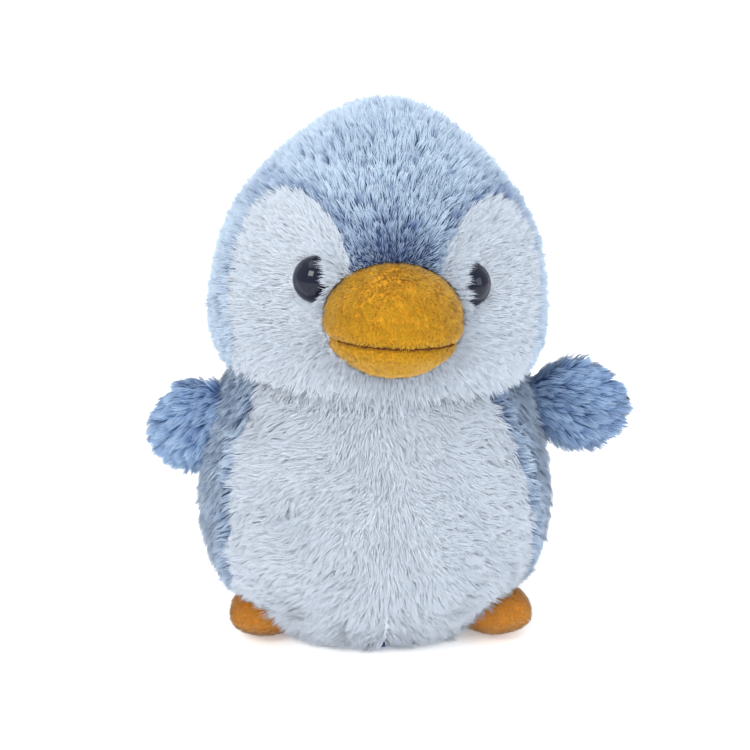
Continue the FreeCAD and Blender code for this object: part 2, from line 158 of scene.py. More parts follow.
def wander(p, scale, seed, octaves=2):
    """A smooth random number from about -1 to 1 at each point, made of a few sine waves."""
    rng = np.random.default_rng(seed)
    total = 0
    for o in range(octaves):
        for _ in range(5):
            k = unit(rng.normal(size=3)) * 2 * math.pi / scale * 1.9 ** o
            total = total + np.sin(p @ k + rng.random() * 7) * 0.7 ** o
    return total / (5 ** 0.5 * 1.5)


# --- mesh making --------------------------------------------------------------------------------
HEAD_PIECES = []          # made upright, and leaned at the end


def ride(ob, body):
    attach(ob, body)
    if body == "head":
        HEAD_PIECES.append(ob)


def mesh_object(name, co, faces_by_size, material, body=None, normals=None):
    """faces_by_size is a list of integer arrays, one row to a face. Coordinates are in millimetres."""
    me = bpy.data.meshes.new(name)
    me.vertices.add(len(co))
    me.vertices.foreach_set("co", (np.asarray(co) * MM).astype(np.float32).ravel())
    loops = np.concatenate([f.ravel() for f in faces_by_size])
    sizes = np.concatenate([np.full(len(f), f.shape[1]) for f in faces_by_size])
    starts = np.concatenate([[0], np.cumsum(sizes)[:-1]])
    me.loops.add(len(loops))
    me.loops.foreach_set("vertex_index", loops.astype(np.int32))
    me.polygons.add(len(sizes))
    me.polygons.foreach_set("loop_start", starts.astype(np.int32))
    me.polygons.foreach_set("use_smooth", np.full(len(sizes), True))
    me.update(calc_edges=True)
    if normals is not None:
        me.normals_split_custom_set_from_vertices(normals.tolist())
    me.materials.append(material)
    ob = bpy.data.objects.new(name, me)
    bpy.context.collection.objects.link(ob)
    if body:
        ride(ob, body)
    return ob


def strand_path(root, normal, comb, length, lean0, lean1, sag, steps=12):
    """Centre lines, steps + 1 points each, that leave the skin at lean0 from the normal and end at lean1."""
    t = (np.arange(steps) + 0.5) / steps
    lean = lean0[:, None] + (lean1 - lean0)[:, None] * t ** 0.75
    d = normal[:, None] * np.cos(lean)[..., None] + comb[:, None] * np.sin(lean)[..., None]
    d[..., 2] -= sag * t ** 2
    d = unit(d) * (length / steps)[:, None, None]
    path = np.concatenate([np.zeros((len(root), 1, 3)), np.cumsum(d, axis=1)], axis=1)
    return root[:, None] + path


def pile(name, material, body, root, normal, comb, length, width, tint, seed, lean=(0.35, 1.15), sag=0.15,
         clump=3.4, gather=0.62, swirl=0.30, rings=(0.0, 0.34, 0.68), keep_out=(), softness=1.6, flat=None):
    """A piece of fur pile: tapered three-sided strands that gather into tufts towards their tips.

    Leans run from root to tip, in radians from the normal, and flat scales each strand's. A tuft has about
    clump squared strands. Softness is how far a strand is shaded like the skin that it grows on.
    """
    rng = np.random.default_rng(seed)
    n = len(root)
    flat = np.ones(n) if flat is None else flat
    length = np.broadcast_to(length, n)
    mid = rng.choice(n, max(4, int(n / clump ** 2)), replace=False)
    tree = kdtree.KDTree(len(mid))
    for i, k in enumerate(mid):
        tree.insert(root[k], i)
    tree.balance()
    near = np.array([tree.find(Vector(p + rng.normal(size=3) * 0.35))[1] for p in root])
    turn = rng.normal(size=len(mid)) * swirl
    stretch = 1 + rng.normal(size=len(mid)) * 0.10
    tip_lean = rng.normal(size=len(mid)) * 0.16
    shade = rng.normal(size=len(mid)) * 0.10

    own = rng.normal(size=n)
    along = unit(turned(comb, normal, turn[near]) + rng.normal(size=(n, 3)) * 0.13)
    hair = strand_path(root, normal, along, length * stretch[near] * (1 + 0.10 * own),
                       flat * (lean[0] + 0.10 * rng.normal(size=n)),
                       flat * (lean[1] + tip_lean[near] + 0.10 * rng.normal(size=n)), sag)
    guide = strand_path(root[mid], normal[mid], turned(comb[mid], normal[mid], turn), length[mid] * stretch,
                        flat[mid] * lean[0], flat[mid] * (lean[1] + tip_lean), sag)
    t = np.linspace(0, 1, hair.shape[1])[None, :, None]
    hold = gather * (0.75 + 0.25 * rng.random(n))[:, None, None]
    stray = rng.random(n) < 0.06
    hold[stray] *= 0.25
    hair = hair + (guide[near] - hair) * hold * t ** 1.4
    for test in keep_out:
        hair = test(hair)
    hair[..., 2] = np.maximum(hair[..., 2], 0.25)      # nothing reaches through the floor

    at = [int(round(r * (hair.shape[1] - 1))) for r in rings]
    points = hair[:, at + [hair.shape[1] - 1]]
    run = unit(np.concatenate([np.diff(points, axis=1), points[:, -1:] - points[:, -2:-1]], axis=1))
    side = unit(np.cross(run, np.broadcast_to(normal[:, None], run.shape)))
    up = np.cross(side, run)
    k = len(rings)
    taper = 1 - 0.55 * np.array(rings) ** 1.5
    rows, facing = [], []
    spin = rng.random(n) * 0.7
    for j in range(k):
        for a in range(3):
            angle = spin + 2 * math.pi * a / 3
            out = side[:, j] * np.cos(angle)[:, None] + up[:, j] * (0.7 * np.sin(angle))[:, None]
            rows.append(points[:, j] + out * (width * taper[j] / 2))
            facing.append(unit(normal * softness + out))
    rows.append(points[:, -1])
    facing.append(unit(normal * softness + up[:, -1]))
    per = 3 * k + 1
    co = np.stack(rows, axis=1).reshape(-1, 3)
    base = (np.arange(n) * per)[:, None, None]
    edges = [(a, (a + 1) % 3) for a in range(3)]
    quads = [[3 * j + b, 3 * j + a, 3 * j + 3 + a, 3 * j + 3 + b] for j in range(k - 1) for a, b in edges]
    tips = [[3 * k - 3 + b, 3 * k - 3 + a, 3 * k] for a, b in edges]
    quads = (base + np.array(quads)[None]).reshape(-1, 4)
    tips = (base + np.array(tips)[None]).reshape(-1, 3)
    ob = mesh_object(name, co, [quads, tips], material, body, np.stack(facing, axis=1).reshape(-1, 3))
    u = np.clip(tint + shade[near] + 0.05 * rng.normal(size=n), 0.02, 0.98)
    v = np.concatenate([np.repeat(np.array(rings), 3), [1.0]])
    uv = np.stack([np.repeat(u, per), np.tile(0.02 + 0.96 * v, n)], axis=1)
    layer = ob.data.uv_layers.new(name="OFBake")
    corners = np.concatenate([quads.ravel(), tips.ravel()])
    layer.data.foreach_set("uv", uv[corners].astype(np.float32).ravel())
    return ob


# --- materials ----------------------------------------------------------------------------------
def nodes_of(name):
    m = bpy.data.materials.new(name)
    m.use_nodes = True
    return m, m.node_tree.nodes, m.node_tree.links, m.node_tree.nodes["Principled BSDF"]


def noise_node(nodes, links, where, scale, detail):
    noise = nodes.new("ShaderNodeTexNoise")
    noise.inputs["Scale"].default_value = scale
    noise.inputs["Detail"].default_value = detail
    links.new(where, noise.inputs["Vector"])
    return noise.outputs[0]


def colour_mix(nodes, links, factor):
    """A colour mix and its two colour inputs."""
    mix = nodes.new("ShaderNodeMix")
    mix.data_type = "RGBA"
    links.new(factor, mix.inputs["Factor"])
    return mix.outputs[2], mix.inputs[6], mix.inputs[7]


def remap(nodes, links, value, given=(0, 1), wanted=(0, 1)):
    r = nodes.new("ShaderNodeMapRange")
    links.new(value, r.inputs["Value"])
    r.inputs["From Min"].default_value, r.inputs["From Max"].default_value = given
    r.inputs["To Min"].default_value, r.inputs["To Max"].default_value = wanted
    return r.outputs[0]


def ramp(nodes, stops):
    r = nodes.new("ShaderNodeValToRGB")
    r.color_ramp.interpolation = "B_SPLINE"
    while len(r.color_ramp.elements) < len(stops):
        r.color_ramp.elements.new(0.5)
    for e, (at, colour) in zip(r.color_ramp.elements, stops):
        e.position = at
        e.color = (*colour, 1)
    return r


def srgb(r, g, b):
    return tuple(((c / 255 + 0.055) / 1.055) ** 2.4 if c > 10 else c / 255 / 12.92 for c in (r, g, b))


def pile_material(name, light, dark, sheen=0.25):
    """Colour runs from root to tip along each strand, between a light and a dark kind of strand."""
    m, nodes, links, p = nodes_of(name)
    uv = nodes.new("ShaderNodeUVMap")
    uv.uv_map = "OFBake"
    split = nodes.new("ShaderNodeSeparateXYZ")
    links.new(uv.outputs[0], split.inputs[0])
    colour, *ends = colour_mix(nodes, links, split.outputs["X"])
    for stops, end in zip((light, dark), ends):
        r = ramp(nodes, stops)
        links.new(split.outputs["Y"], r.inputs[0])
        links.new(r.outputs[0], end)
    noise = noise_node(nodes, links, uv.outputs[0], 34.0, 3.0)
    tone = nodes.new("ShaderNodeVectorMath")
    tone.operation = "SCALE"
    links.new(colour, tone.inputs[0])
    links.new(remap(nodes, links, noise, (0.3, 0.7), (0.86, 1.12)), tone.inputs["Scale"])
    links.new(tone.outputs[0], p.inputs["Base Color"])
    links.new(remap(nodes, links, split.outputs["Y"], wanted=(0.95, 0.7)), p.inputs["Roughness"])
    p.inputs["Sheen Weight"].default_value = sheen
    p.inputs["Sheen Roughness"].default_value = 0.5
    p.inputs["Specular IOR Level"].default_value = 0.25
    return m


def cloth_material(name, colour, other, weave=900.0):
    """Knitted backing cloth: fine crossed ribs with uneven dye."""
    m, nodes, links, p = nodes_of(name)
    where = nodes.new("ShaderNodeTexCoord").outputs["Object"]
    knit = nodes.new("ShaderNodeMath")
    knit.operation = "MULTIPLY"
    for direction, factor in zip(("X", "Z"), knit.inputs):
        w = nodes.new("ShaderNodeTexWave")
        w.bands_direction = direction
        w.inputs["Scale"].default_value = weave
        w.inputs["Distortion"].default_value = 1.5
        w.inputs["Detail"].default_value = 2.0
        links.new(where, w.inputs["Vector"])
        links.new(w.outputs[1], factor)
    mixed, low, high = colour_mix(nodes, links, noise_node(nodes, links, where, 120.0, 4.0))
    low.default_value, high.default_value = (*colour, 1), (*other, 1)
    links.new(mixed, p.inputs["Base Color"])
    bump = nodes.new("ShaderNodeBump")
    bump.inputs["Strength"].default_value = 0.25
    bump.inputs["Distance"].default_value = 0.0003
    links.new(knit.outputs[0], bump.inputs["Height"])
    links.new(bump.outputs[0], p.inputs["Normal"])
    p.inputs["Roughness"].default_value = 0.95
    p.inputs["Specular IOR Level"].default_value = 0.2
    return m


def plastic_material(name, colour, other, smooth, rough, coat=0.0, specular=0.5):
    """Moulded plastic: faint clouding in its colour and fine scuffs in its gloss."""
    m, nodes, links, p = nodes_of(name)
    noise = noise_node(nodes, links, nodes.new("ShaderNodeTexCoord").outputs["Object"], 160.0, 6.0)
    mixed, low, high = colour_mix(nodes, links, noise)
    low.default_value, high.default_value = (*colour, 1), (*other, 1)
    links.new(mixed, p.inputs["Base Color"])
    links.new(remap(nodes, links, noise, (0.35, 0.75), (smooth, rough)), p.inputs["Roughness"])
    p.inputs["Coat Weight"].default_value = coat
    p.inputs["Coat Roughness"].default_value = 0.03
    p.inputs["Specular IOR Level"].default_value = specular
    return m


def floor_material():
    """Pale painted floor, with a slight glow of its own so that it stays white."""
    m, nodes, links, p = nodes_of("floor_paint")
    noise = nodes.new("ShaderNodeTexNoise")
    noise.inputs["Scale"].default_value = 2.0
    links.new(remap(nodes, links, noise.outputs[0], wanted=(0.75, 0.85)), p.inputs["Roughness"])
    p.inputs["Base Color"].default_value = (0.95, 0.955, 0.96, 1)
    p.inputs["Emission Color"].default_value = (1, 1, 1, 1)
    p.inputs["Emission Strength"].default_value = 0.3
    return m


def shades(*rows):
    """Stops of a ramp, each given as its place and then red, green and blue out of 255."""
    return [(at, srgb(*colour)) for at, *colour in rows]


BLUE = pile_material(
    "blue_pile",
    shades((0.0, 112, 138, 176), (0.35, 156, 180, 208), (0.65, 184, 203, 222), (1.0, 202, 217, 231)),
    shades((0.0, 34, 48, 92), (0.4, 56, 78, 124), (0.75, 88, 114, 158), (1.0, 128, 154, 190)))
DEEP_BLUE = pile_material(
    "deep_blue_pile",
    shades((0.0, 60, 92, 144), (0.35, 102, 136, 184), (0.65, 142, 172, 208), (1.0, 178, 201, 226)),
    shades((0.0, 20, 36, 84), (0.4, 38, 64, 120), (0.75, 66, 98, 156), (1.0, 104, 138, 188)))
# The white pile is lighter at its roots than at its tips: painted light that makes up for the shade between
# the strands.
WHITE = pile_material(
    "white_pile",
    shades((0.0, 222, 230, 238), (0.4, 206, 214, 225), (1.0, 198, 207, 219)),
    shades((0.0, 208, 216, 226), (0.5, 194, 203, 215), (1.0, 188, 198, 211)))
YELLOW = pile_material(
    "yellow_pile",
    shades((0.0, 178, 128, 10), (0.5, 194, 144, 12), (1.0, 208, 164, 30)),
    shades((0.0, 152, 96, 6), (0.5, 174, 118, 8), (1.0, 188, 136, 16)), sheen=0.22)
ORANGE = pile_material(
    "orange_pile",
    shades((0.0, 176, 108, 26), (0.5, 192, 130, 44), (1.0, 208, 154, 74)),
    shades((0.0, 150, 84, 18), (0.5, 174, 106, 30), (1.0, 192, 130, 50)), sheen=0.35)
BLUE_CLOTH = cloth_material("blue_backing", srgb(58, 68, 104), srgb(78, 90, 128))
# The white backing is lighter than the pile's tips: painted light that makes up for the shade between the
# strands.
WHITE_CLOTH = cloth_material("white_backing", srgb(222, 228, 238), srgb(232, 236, 244))
YELLOW_CLOTH = cloth_material("yellow_backing", srgb(206, 142, 28), srgb(222, 160, 44), weave=1400.0)
ORANGE_CLOTH = cloth_material("orange_backing", srgb(186, 112, 30), srgb(206, 132, 44), weave=1400.0)
THREAD = cloth_material("brown_thread", srgb(84, 44, 20), srgb(112, 62, 30), weave=2600.0)
EYE = plastic_material("eye_plastic", srgb(8, 12, 30), srgb(12, 20, 42), 0.04, 0.10, coat=0.15, specular=0.22)
WASHER = plastic_material("washer_plastic", srgb(232, 232, 228), srgb(222, 222, 216), 0.4, 0.6)
FLOOR = floor_material()


# --- skins --------------------------------------------------------------------------------------
def patch(x, z):
    """True in the white eye patches, cheeks and chin, seen from the front."""
    ax = np.abs(x)
    lobe = ((ax - LOBE_CENTRE[0]) / LOBE_SIZE[0]) ** 2 + ((z - LOBE_CENTRE[1]) / LOBE_SIZE[1]) ** 2 < 1
    return lobe | ((ax < CHEEK_HALF_WIDTH) & (z < CHEEK_TOP))


def belly(x, z):
    """True in the white belly, seen from the front."""
    left, right = (np.interp(z, *BELLY_EDGE[side]) for side in SIDES)
    return np.abs(x) < np.where(x > 0, left, right)


def rotation(axis, degrees):
    return np.array(Matrix.Rotation(math.radians(degrees), 3, axis))


def ring_faces(rows, around):
    """Faces of a grid whose rows close on themselves, with a fan to one more point at each end."""
    i, j = np.meshgrid(np.arange(rows - 1), np.arange(around), indexing="ij")
    a = (i * around + j).ravel()
    b = (i * around + (j + 1) % around).ravel()
    quads = np.stack([a, b, b + around, a + around], 1)
    ring = np.arange(around)
    last = (rows - 1) * around
    low = np.stack([(ring + 1) % around, ring, np.full(around, rows * around)], 1)
    high = np.stack([last + ring, last + (ring + 1) % around, np.full(around, rows * around + 1)], 1)
    return quads, np.concatenate([low, high])


def eye_seat(side):
    """Where the eye's seat is on the head, and the way it faces."""
    x, z = EYE_AT
    along = np.linspace(0, 1, 400)
    s = np.interp(z, HEAD.at(along, np.full(400, -math.pi / 2), PILE)[0][:, 2], along)
    phi = np.linspace(-math.pi / 2, 0, 2000)
    p, n = HEAD.at(np.full(2000, s), phi, PILE)
    k = np.argmin(np.abs(p[:, 0] - x))
    flip = np.array([SIDES[side], 1, 1])
    return p[k] * flip, n[k] * flip


EYES = [eye_seat(side) for side in SIDES]


def off_eye(p):
    """How far points are from the nearer eye's axis."""
    far = []
    for centre, axis in EYES:
        gap = p - centre
        height = gap @ axis
        side = gap - axis * height[..., None]
        far.append(np.linalg.norm(side, axis=-1) + 99 * (height < -12))
    return np.minimum(*far)


BEAK_TURN = rotation("X", BEAK_PITCH)


def off_beak(p):
    """How far points are outside the beak, about."""
    local = (p - BEAK_AT) @ BEAK_TURN
    return (np.linalg.norm(local / BEAK_SIZE, axis=-1) - 1) * 20


def head_depth(outer):
    """The cloth lies deeper at the eyes and shallower where it meets the beak."""
    pit = EYE_PIT * np.clip((10.5 - off_eye(outer)) / 3.5, 0, 1)
    return SKIN + pit - 1.4 * np.clip(1 - off_beak(outer) / 5, 0, 1)


def torso_depth(outer):
    return np.full(len(outer), SKIN)


def skin(name, egg, depth, s_range, white, body, ends, rows=56, around=112):
    """The closed skin of a stuffed egg, its faces coloured like the pile that grows on them."""
    s = np.repeat(np.linspace(*s_range, rows), around)
    phi = np.tile(np.linspace(0, 2 * math.pi, around, endpoint=False), rows)
    outer, _ = egg.at(s, phi, 0)
    grid, _ = egg.at(s, phi, depth(outer))
    quads, caps = ring_faces(rows, around)
    ob = mesh_object(name, np.concatenate([grid, ends]), [quads, caps], BLUE_CLOTH, body)
    ob.data.materials.append(WHITE_CLOTH)
    centre = outer[quads].mean(1)
    flags = np.zeros(len(ob.data.polygons), np.int32)
    flags[:len(quads)] = (white(centre[:, 0], centre[:, 2]) & (centre[:, 1] < 0)).astype(int)
    ob.data.polygons.foreach_set("material_index", flags)
    return ob


head_skin = skin("head_skin", HEAD, head_depth, (0.03, 0.999), patch, "head",
                 np.array([[0, 0, NECK_Z + 0.3], [0, 0, HEAD_PROFILE[-1][1] - SKIN]]))
torso_skin = skin("torso_skin", TORSO, torso_depth, (0.0, 0.965), belly, "torso",
                  np.array([[0, 0, 1.2], [0, 0, NECK_Z - 0.3]]))
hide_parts("head_stuffing")
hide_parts("torso_stuffing", "closing_stitches")


# --- small padded forms ---------------------------------------------------------------------------
def ball_grid(rows, around):
    """Points of a unit ball in rows from bottom to top, its faces, and its two ends last."""
    theta = np.repeat(np.linspace(0, math.pi, rows + 2)[1:-1], around)
    phi = np.tile(np.linspace(0, 2 * math.pi, around, endpoint=False), rows)
    ring = np.stack([np.sin(theta) * np.cos(phi), np.sin(theta) * np.sin(phi), -np.cos(theta)], 1)
    quads, caps = ring_faces(rows, around)
    return np.concatenate([ring, [[0, 0, -1], [0, 0, 1]]]), [quads, caps]


def positions(ob):
    co = np.empty(len(ob.data.vertices) * 3, np.float32)
    ob.data.vertices.foreach_get("co", co)
    return co.reshape(-1, 3).astype(float) / MM


def move_to(ob, co):
    ob.data.vertices.foreach_set("co", (co * MM).astype(np.float32).ravel())
    ob.data.update()


def apply_modifiers(ob):
    view = bpy.context.evaluated_depsgraph_get()
    view.update()
    made = bpy.data.meshes.new_from_object(ob.evaluated_get(view))
    ob.modifiers.clear()
    ob.data = made


def inflate(ob, held, most):
    """Blows the pad up with Cloth against the points that are held, by no more than most millimetres."""
    scene = bpy.context.scene
    before = positions(ob)
    group = ob.vertex_groups.new(name="held")
    group.add([int(i) for i in np.nonzero(held)[0]], 1.0, "REPLACE")
    cloth = ob.modifiers.new("cloth", "CLOTH")
    cloth.settings.quality = 6
    cloth.settings.mass = 0.15
    cloth.settings.use_pressure = True
    cloth.settings.uniform_pressure_force = 4.0
    cloth.settings.effector_weights.gravity = 0
    cloth.settings.vertex_group_mass = "held"
    cloth.point_cache.frame_start, cloth.point_cache.frame_end = 1, 20
    for frame_number in range(1, 21):
        scene.frame_set(frame_number)
    apply_modifiers(ob)
    ob.vertex_groups.clear()
    scene.frame_set(1)
    moved = positions(ob) - before
    far = np.linalg.norm(moved, axis=1, keepdims=True)
    move_to(ob, before + moved * np.minimum(1, most / np.maximum(far, 1e-6)))


def smoother(ob):
    ob.modifiers.new("smooth", "SUBSURF").levels = 1
    apply_modifiers(ob)
    ob.data.polygons.foreach_set("use_smooth", np.full(len(ob.data.polygons), True))


def pad(name, body, local, faces, place, material, held, most):
    """A stuffed form: made in its own frame, blown up against its seams, then put in place."""
    ob = mesh_object(name, local, faces, material)
    inflate(ob, held, most)
    smoother(ob)
    move_to(ob, place(positions(ob)))
    ride(ob, body)
    return ob


def grown_on(ob, density, seed, wanted):
    """Roots spread evenly over a mesh, with its normals."""
    me = ob.data
    me.calc_loop_triangles()
    co = positions(ob)
    tri = np.empty(len(me.loop_triangles) * 3, np.int32)
    me.loop_triangles.foreach_get("vertices", tri)
    corner = co[tri.reshape(-1, 3)]
    cross = np.cross(corner[:, 1] - corner[:, 0], corner[:, 2] - corner[:, 0])
    area = np.linalg.norm(cross, axis=1) / 2
    rng = np.random.default_rng(seed)
    count = int(area.sum() * density)
    pick = np.searchsorted(np.cumsum(area) / area.sum(), rng.random(count))
    pick = np.minimum(pick, len(area) - 1)
    a, b = rng.random((2, count, 1))
    over = (a + b) > 1
    a, b = np.where(over, 1 - a, a), np.where(over, 1 - b, b)
    c = corner[pick]
    root = c[:, 0] + (c[:, 1] - c[:, 0]) * a + (c[:, 2] - c[:, 0]) * b
    normal = unit(cross[pick])
    keep = wanted(root, normal)
    return root[keep], normal[keep]


# --- beak -----------------------------------------------------------------------------------------
def beak_place(local):
    return local @ BEAK_TURN.T + BEAK_AT


def beak_detail(local):
    """The mouth's soft recess between its two lips, and small unevenness in the cloth."""
    low = np.abs(local[:, 2] + MOUTH_DROP)
    inward = -unit(local / BEAK_SIZE ** 2)
    depth = 1.25 * np.exp(-(low / 1.1) ** 2) - 0.30 * np.exp(-((low - 3.2) / 1.8) ** 2)
    depth = depth + 0.16 * wander(local, 9, 71) + 0.07 * wander(local, 3, 72)
    return local + inward * depth[:, None]


ball, ball_faces = ball_grid(46, 64)
beak_local = ball * (BEAK_SIZE - NAP - 0.5)
beak_seam = (np.abs(beak_local[:, 2] + MOUTH_DROP) < 0.7) | (beak_local[:, 1] > 6)
beak_skin = pad("beak_skin", "head", beak_local, ball_faces, lambda p: beak_place(beak_detail(p)),
                YELLOW_CLOTH, beak_seam, 1.0)
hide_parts("beak_stuffing")


COARSE = (0.0, 0.5)       # two rings to a strand instead of three


def short_nap(name, skin_object, body, material, density, seed, comb, wanted, tint):
    """The short brushed nap of beak and feet."""
    root, normal = grown_on(skin_object, density, seed, wanted)
    ob = pile(name, material, body, root, normal, comb(root, normal), 1.5, 0.26, tint(root), seed + 1,
              lean=(0.5, 1.15), sag=0.05, clump=2.4, gather=0.35, swirl=0.35, rings=COARSE)
    return ob


def beak_comb(p, n):
    side = np.stack([np.tanh(p[:, 0] / 6), 0 * p[:, 0], 0.12 * (p[:, 2] - 150)], 1)
    return turned(across(side, n), n, 0.35 * wander(p, 6, 79))


beak_pile = short_nap("beak_pile", beak_skin, "head", YELLOW, 6.2, 81, beak_comb,
                      lambda p, n: (p[:, 1] < -45) & (n[:, 1] < 0.5),
                      lambda p: 0.32 + 0.28 * wander(p * np.array([0.3, 1, 1]), 2.6, 73))
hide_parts("beak_upper_panel", "beak_lower_panel")


def thread_tube(path, radius, sides=8, ply=5.0):
    """A two-ply thread along a path, its lobes turning by ply radians from end to end."""
    run = unit(np.gradient(path, axis=0))
    up = unit(np.cross(run, np.array([0, 0.2, 1.0])))
    side = np.cross(run, up)
    turn = np.linspace(0, ply, len(path))[:, None]
    angle = np.linspace(0, 2 * math.pi, sides, endpoint=False)[None]
    thick = (radius * (1 + 0.22 * np.cos(2 * (angle - turn))))[..., None]
    out = up[:, None] * np.cos(angle)[..., None] + side[:, None] * np.sin(angle)[..., None]
    ring = path[:, None] + thick * out
    co = np.concatenate([ring.reshape(-1, 3), path[:1], path[-1:]])
    return co, ring_faces(len(path), sides)


def mouth_stitches():
    """Thread that dips in and out along the recess between the beak's two halves."""
    step = 2 * math.radians(MOUTH_SWEEP) / MOUTH_STITCHES
    narrow = math.sqrt(1 - (MOUTH_DROP / BEAK_SIZE[2]) ** 2)
    co, quads, caps = [], [], []
    for i in range(MOUTH_STITCHES):
        turn = -math.radians(MOUTH_SWEEP) + (i + np.linspace(0.0, 1.0, 12)) * step
        dip = 1.55 - 0.55 * np.cos(np.linspace(-math.pi, math.pi, 12))
        reach = narrow * BEAK_SIZE[:2] - dip[:, None]
        wave = 0.12 * math.sin(2.3 * i)
        level = np.full(12, -MOUTH_DROP + wave)
        path = np.stack([reach[:, 0] * np.sin(turn), -reach[:, 1] * np.cos(turn), level], 1)
        points, (q, c) = thread_tube(path, 0.22)
        first = sum(len(part) for part in co)
        co.append(points)
        quads.append(q + first)
        caps.append(c + first)
    ob = mesh_object("mouth_stitches", beak_place(np.concatenate(co)),
                     [np.concatenate(quads), np.concatenate(caps)], THREAD, "head")
    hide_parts("mouth_seam_thread")


mouth_stitches()


# --- feet -----------------------------------------------------------------------------------------
def foot_place(side):
    turn = rotation("Z", FOOT_YAW - 90)
    flip = np.array([SIDES[side], 1, 1])
    return lambda local: (local @ turn.T + FOOT_ROOT[side] + FOOT_TUCK) * flip


def foot_local():
    """An egg with a few soft toes, flat underneath; both feet's roots are at one height."""
    co = ball * (FOOT_SIZE - NAP - 0.3) + [FOOT_REACH, 0, 0]
    toes = 0.5 * np.cos(co[:, 1] * 0.55) * np.clip((co[:, 0] - 10) / 10, 0, 1)
    co[:, 0] += toes
    floor = 0.9 - FOOT_ROOT["left"][2] - FOOT_TUCK[2]
    return np.where(co[:, 2:] < floor, co * [0.97, 0.97, 0] + [0, 0, floor], co)


for side in SIDES:
    local = foot_local()
    foot = pad(f"foot_skin_{side}", f"foot_{side}", local, ball_faces, foot_place(side), ORANGE_CLOTH,
               (local[:, 0] < 0) | (local[:, 2] < -7), 0.8)
    if SIDES[side] < 0:
        foot.data.flip_normals()
    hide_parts(f"foot_{side}_stuffing", f"foot_{side}_root_seam")
    away = foot_place(side)(np.array([[-6.0, 0, 8]]))[0]
    nap = short_nap(f"foot_pile_{side}", foot, f"foot_{side}", ORANGE, 5.2, 90 + SIDES[side],
                    lambda p, n: across(p - away, n),
                    lambda p, n: (p[:, 2] > 1.0) & (np.abs(p[:, 0]) > 26),
                    lambda p: 0.35 + 0.25 * wander(p, 3, 74))
    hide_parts(f"foot_{side}_top_panel", f"foot_{side}_sole_panel")


# --- flippers -------------------------------------------------------------------------------------
def flipper_place(side):
    forward, lift = FLIPPER_REST[side]
    turn = rotation("Z", -forward) @ rotation("Y", FLIPPER_HANG[side] - lift)
    flip = np.array([SIDES[side], 1, 1])
    return lambda local: (local @ turn.T + FLIPPER_ROOT[side]) * flip


def flipper_local(side):
    """A flat paddle, narrow and thin at its root, its long axis along X."""
    co = ball[:, [2, 1, 0]] * [1, -1, 1] * (FLIPPER_SIZE - [5.0, 3.4, 3.6]) + [FLIPPER_REACH, 0, 0]
    out = np.maximum(co[:, 0] + 1, 0)
    tall, thick = 6.5 + 1.35 * out, 2.6 + 0.6 * out
    co[:, 2] = tall * np.tanh(co[:, 2] / tall)
    co[:, 1] = thick * np.tanh(co[:, 1] / thick)
    co[:, 1] += 0.6 * wander(co, 16, 75)
    fall = 1 - FLIPPER_SLOPE[side] * np.clip(co[:, 0] / 24, 0, 1)
    co[:, 2] *= np.where(co[:, 2] > 0, fall, 1.0)
    return co


for side in SIDES:
    local, place = flipper_local(side), flipper_place(side)
    flipper = pad(f"flipper_skin_{side}", f"flipper_{side}", local, ball_faces, place, BLUE_CLOTH,
                  local[:, 0] < 1, 0.8)
    if SIDES[side] < 0:
        flipper.data.flip_normals()
    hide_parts(f"flipper_{side}_stuffing", f"flipper_{side}_root_seam")
    hub = place(np.array([[-13.0, 0, 0]]))[0]
    root, normal = grown_on(flipper, 6.0, 100 + SIDES[side], lambda p, n: np.abs(p[:, 0]) > 50)
    far = np.linalg.norm(root - hub, axis=1)
    out = np.clip((far - 12) / 14, 0, 1)
    streak = np.clip((wander(root, 6.5, 77) - 0.6) * 1.6, 0, 1)
    ob = pile(f"flipper_pile_{side}", DEEP_BLUE, f"flipper_{side}", root, normal, across(root - hub, normal),
              5.2 + 2.0 * out, 0.28, 0.22 + 0.20 * wander(root, 9, 76) + 0.6 * streak, 110 + SIDES[side],
              lean=(0.60, 1.20), sag=0.10, clump=5.0, gather=0.62, swirl=0.20, softness=1.5)
    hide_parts(f"flipper_{side}_front_panel", f"flipper_{side}_back_panel")


# --- things that the pile keeps clear of ----------------------------------------------------------
def out_of_ellipsoid(place_back, size):
    """Pushes points out of an ellipsoid; place_back gives its own frame and the way out of it again."""
    into, out = place_back

    def test(points):
        local = into(points) / size
        far = np.linalg.norm(local, axis=-1, keepdims=True)
        pushed = local / np.maximum(far, 1e-6) * np.maximum(far, 1.0)
        return np.where(far < 1, out(pushed * size), points)
    return test


def beak_frame():
    return lambda p: (p - BEAK_AT) @ BEAK_TURN, beak_place


def foot_frame(side):
    turn, flip, place = rotation("Z", FOOT_YAW - 90), np.array([SIDES[side], 1, 1]), foot_place(side)
    middle = np.array([FOOT_REACH, 0, 0])
    return lambda p: (p * flip - FOOT_ROOT[side] - FOOT_TUCK) @ turn - middle, lambda p: place(p + middle)


def inside(frame_pair, size, p):
    return np.linalg.norm(frame_pair[0](p) / size, axis=-1) < 1


def over_eyes(points):
    """Pushes points out of a ball round each eye."""
    for centre, axis in EYES:
        middle = centre + axis * 0.2
        gap = points - middle
        far = np.linalg.norm(gap, axis=-1, keepdims=True)
        points = middle + gap / np.maximum(far, 1e-6) * np.maximum(far, 7.35)
    return points


def beside_eye(p):
    """1 on the beak's side of an eye, where the pile lies over it, fading to 0 round the rest."""
    share = np.zeros(len(p))
    for centre, axis in EYES:
        gap = p - centre
        near = np.exp(-((np.linalg.norm(gap, axis=1) - 8.0) / 2.2) ** 2)
        inner = np.clip(-gap[:, 0] * np.sign(centre[0]) / 6 - 0.15 + 0.10 * (gap[:, 2] > 0), 0, 1)
        share = np.maximum(share, near * np.sqrt(inner))
    return share


HEAD_KEEP_OUT = [out_of_ellipsoid(beak_frame(), BEAK_SIZE - 0.4), over_eyes]
TORSO_KEEP_OUT = [out_of_ellipsoid(foot_frame(side), FOOT_SIZE - 0.6) for side in SIDES]


